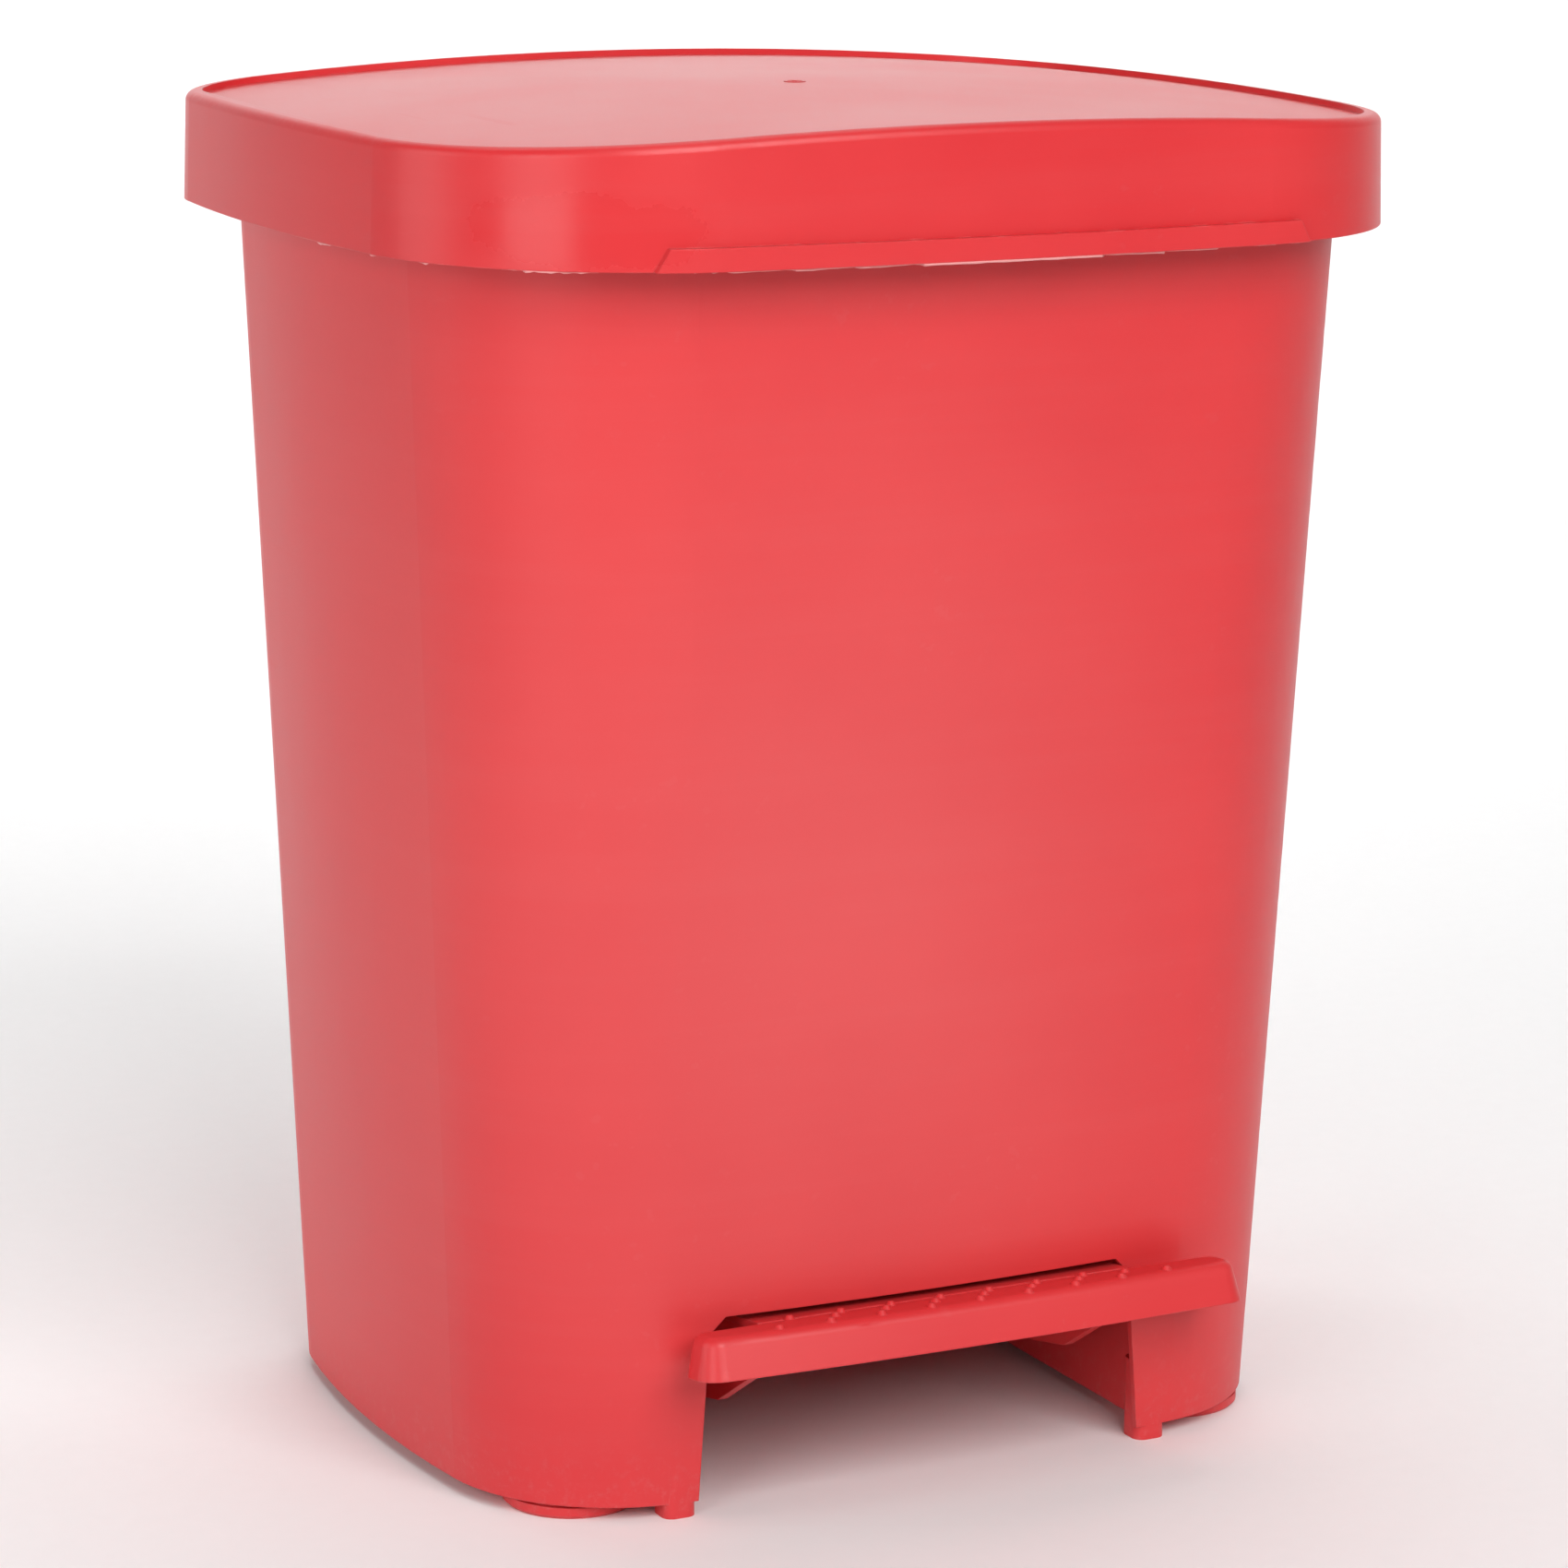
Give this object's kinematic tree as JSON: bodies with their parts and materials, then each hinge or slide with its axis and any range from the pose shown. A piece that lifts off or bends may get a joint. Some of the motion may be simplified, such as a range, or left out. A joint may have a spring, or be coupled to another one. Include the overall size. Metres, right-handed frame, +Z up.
{
  "type": "step-on waste bin",
  "caption": "Tapered rectangular step-on waste bin with an overhanging hinged domed lid, a wide front foot pedal and a push rod in the back that lifts the lid.",
  "frame": {"origin": "on the floor, under the middle of the bin's overall box", "axes": "+Z up, front of the bin (pedal and lid lip) to -Y, back with the rod groove to +Y"},
  "size_m": [0.3974, 0.3306, 0.4971],
  "materials": {
    "red_moulding": "satin red polypropylene",
    "lid_moulding": "smooth red polypropylene, a little glossier than the body",
    "bright_steel": "drawn and zinc plated steel",
    "cap_plastic": "black push-on caps",
    "slide_plastic": "natural nylon"
  },
  "bodies": {
    "base": {"bin_body": "red_moulding", "foot_front_left": "red_moulding", "foot_front_right": "red_moulding", "foot_rear_left": "red_moulding", "foot_rear_right": "red_moulding", "hinge_pin": "bright_steel", "hinge_pin_caps": "cap_plastic", "pedal_axle": "bright_steel", "axle_caps": "cap_plastic", "rod_guide_lower": "slide_plastic", "rod_guide_upper": "slide_plastic", "rear_cover": "red_moulding", "rear_cover_screws": "bright_steel"},
    "lid_unit": {"lid": "lid_moulding", "lid_crank": "red_moulding", "crank_screws": "bright_steel", "crank_pin": "bright_steel", "crank_pin_caps": "cap_plastic"},
    "pedal_lever": {"pedal": "red_moulding", "rear_pin": "bright_steel", "rear_pin_caps": "cap_plastic"},
    "lift_rod": {"push_rod": "bright_steel", "rod_head": "slide_plastic", "rod_foot": "slide_plastic", "rod_lock_pins": "bright_steel"}
  },
  "joints": [
    {"name": "lid_open", "type": "hinge", "parent": "base", "child": "lid_unit", "pos_m": [0, 0.152, 0.446], "axis": [-1, 0, 0], "range_deg": [0, 75]},
    {"name": "pedal_press", "type": "hinge", "parent": "base", "child": "pedal_lever", "pos_m": [0, 0, 0.052], "axis": [1, 0, 0], "range_deg": [0, 16.7]},
    {"name": "rod_lift", "type": "slide", "parent": "base", "child": "lift_rod", "axis": [0, 0, 1], "range_m": [0, 0.03655]}
  ],
  "couplings": [
    {"joint": "pedal_press", "follows": "lid_open", "ratio": 0.2226},
    {"joint": "rod_lift", "follows": "lid_open", "m_per_rad": 0.027904}
  ]
}
